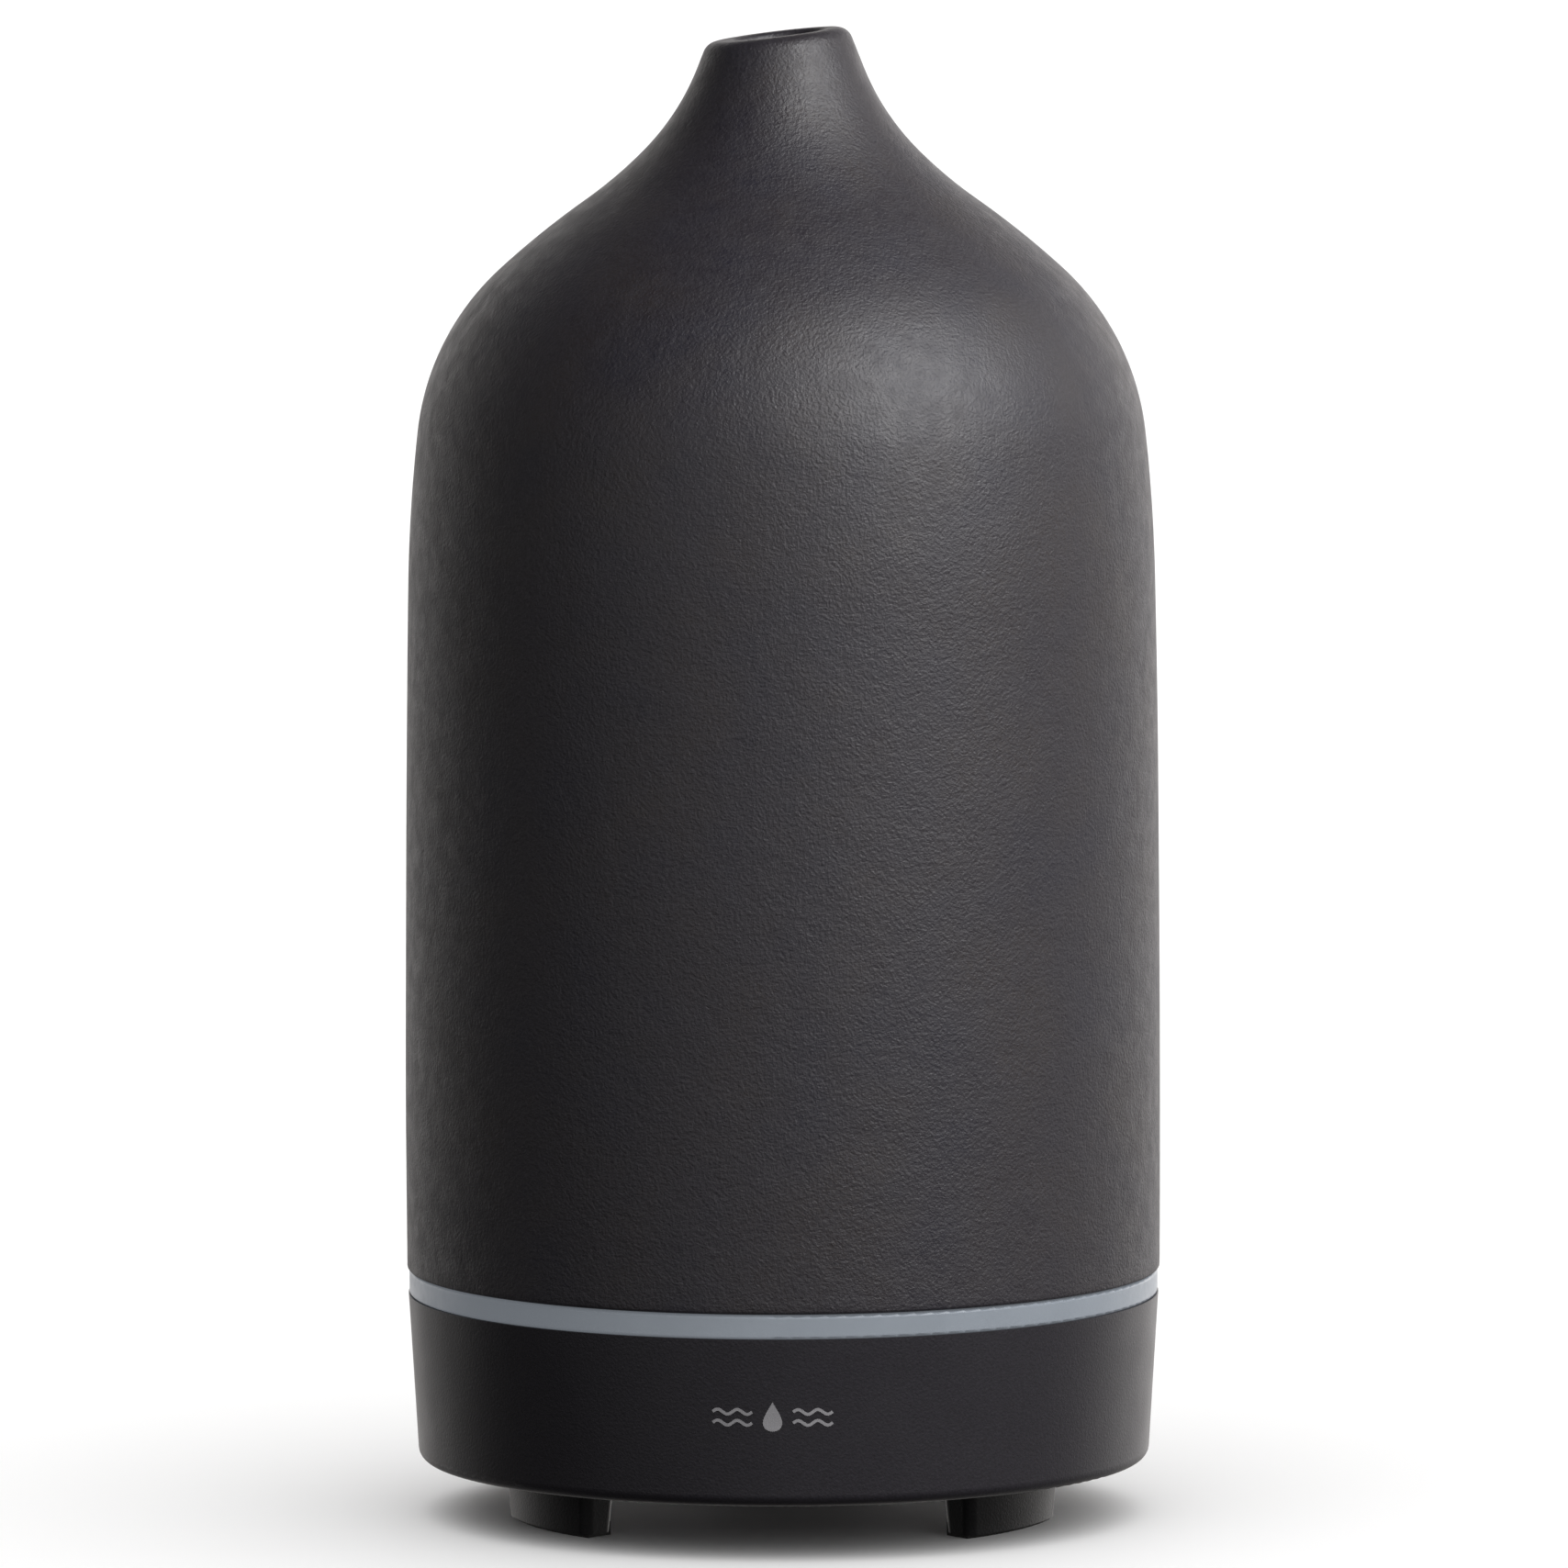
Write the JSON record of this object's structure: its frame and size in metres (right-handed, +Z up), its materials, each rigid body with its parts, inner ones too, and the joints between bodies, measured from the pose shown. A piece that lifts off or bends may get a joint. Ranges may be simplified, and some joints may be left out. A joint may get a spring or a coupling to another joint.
{
  "type": "essential oil diffuser",
  "caption": "Tabletop ultrasonic essential oil diffuser: matte dark ceramic bottle-shaped cover that lifts off a water tank, frosted light band and round base on low feet.",
  "frame": {"origin": "on the floor under the axis of the round body", "axes": "+X right, +Y to the back where the power inlet is, +Z up; the front faces -Y"},
  "size_m": [0.0896, 0.0896, 0.1768],
  "materials": {
    "cover_ceramic": "matte",
    "base_plastic": "matte",
    "foot_plastic": "satin",
    "light_plastic": "satin",
    "tank_plastic": "satin",
    "hood_plastic": "satin",
    "silicone": "satin",
    "rubber_pad": "matte",
    "steel": "satin",
    "nickel": "satin",
    "piezo_silver": "satin",
    "black_plastic": "satin",
    "bronze": "matte",
    "copper_wire": "satin",
    "ferrite": "matte",
    "magnet": "matte",
    "circuit_board": "gloss",
    "aluminium": "satin",
    "can_sleeve": "gloss",
    "connector_plastic": "satin",
    "lamp_resin": "satin",
    "filter_foam": "matte",
    "wire_cover": "satin"
  },
  "bodies": {
    "base": {"base_shell": "base_plastic", "light_ring": "light_plastic", "seat_gasket": "silicone", "tank_gasket": "silicone", "water_tank": "tank_plastic", "bottom_cover": "base_plastic", "housing_screws": "steel", "intake_filter": "filter_foam", "foot_front_left": "foot_plastic", "foot_front_right": "foot_plastic", "foot_rear": "foot_plastic", "foot_pads": "rubber_pad", "transducer_disc": "piezo_silver", "transducer_seal": "silicone", "transducer_clamp": "black_plastic", "clamp_screws": "steel", "blower_case": "black_plastic", "blower_lid": "black_plastic", "blower_screws": "steel", "blower_bearing": "bronze", "blower_stator": "nickel", "stator_coils": "copper_wire", "air_duct": "black_plastic", "main_board": "circuit_board", "board_screws": "steel", "led_board": "circuit_board", "leds": "lamp_resin", "capacitors": "can_sleeve", "driver_inductor": "ferrite", "inductor_coil": "copper_wire", "heat_sink": "aluminium", "drive_transistor": "black_plastic", "controller_chip": "black_plastic", "wire_connectors": "connector_plastic", "mist_switch": "black_plastic", "light_switch": "black_plastic", "dc_jack": "black_plastic", "dc_center_pin": "nickel", "transducer_leads": "wire_cover", "blower_leads": "wire_cover", "led_leads": "wire_cover"},
    "cover": {"ceramic_cover": "cover_ceramic"},
    "hood": {"mist_hood": "hood_plastic", "splash_baffle": "hood_plastic"},
    "fan_rotor": {"blower_rotor": "black_plastic", "rotor_magnet": "magnet", "rotor_shaft": "steel"},
    "mist_push": {"mist_button": "base_plastic", "mist_switch_stem": "black_plastic"},
    "light_push": {"light_button": "base_plastic", "light_switch_stem": "black_plastic"}
  },
  "joints": [
    {"name": "cover_lift", "type": "slide", "parent": "base", "child": "cover", "axis": [0, 0, 1], "range_m": [0, 0.13]},
    {"name": "hood_lift", "type": "slide", "parent": "base", "child": "hood", "axis": [0, 0, 1], "range_m": [0, 0.035]},
    {"name": "fan_spin", "type": "hinge", "parent": "base", "child": "fan_rotor", "pos_m": [0.0115, -0.007, 0.0158], "axis": [0, 0, 1], "continuous": true},
    {"name": "mist_press", "type": "slide", "parent": "base", "child": "mist_push", "axis": [0.5736, -0.8192, 0], "range_m": [0, 0.0006], "stiffness_N_per_m": 400, "springref_m": -0.002},
    {"name": "light_press", "type": "slide", "parent": "base", "child": "light_push", "axis": [-0.5736, -0.8192, 0], "range_m": [0, 0.0006], "stiffness_N_per_m": 400, "springref_m": -0.002}
  ]
}
